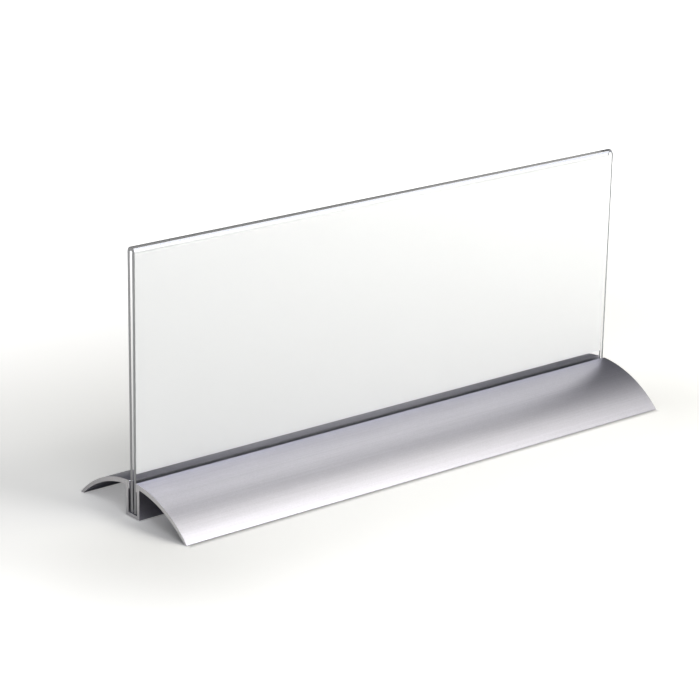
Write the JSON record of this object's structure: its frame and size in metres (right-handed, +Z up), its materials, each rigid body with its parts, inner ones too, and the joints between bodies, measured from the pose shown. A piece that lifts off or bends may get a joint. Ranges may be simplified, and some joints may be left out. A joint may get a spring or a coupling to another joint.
{
  "type": "table sign holder",
  "caption": "Long low base with two curved wings and a slot that holds a clear folded sleeve upright, with a white folded card in the sleeve.",
  "frame": {"origin": "on the table, under the middle of the holder", "axes": "+X along the holder, +Y from front to back, +Z up"},
  "size_m": [0.3, 0.0838, 0.13],
  "materials": {
    "satin_aluminium": "satin anodised extrusion, natural silver",
    "clear_acrylic": "clear polished acrylic",
    "white_card": "plain white card, smooth and matt"
  },
  "bodies": {
    "base": {"base_profile": "satin_aluminium"},
    "sleeve": {"acrylic_sleeve": "clear_acrylic"},
    "card": {"insert_card": "white_card"}
  },
  "joints": [
    {"name": "sleeve_lift", "type": "slide", "parent": "base", "child": "sleeve", "axis": [0, 0, 1], "range_m": [0, 0.02]},
    {"name": "card_slide", "type": "slide", "parent": "sleeve", "child": "card", "axis": [1, 0, 0], "range_m": [-0.3, 0.3]}
  ]
}
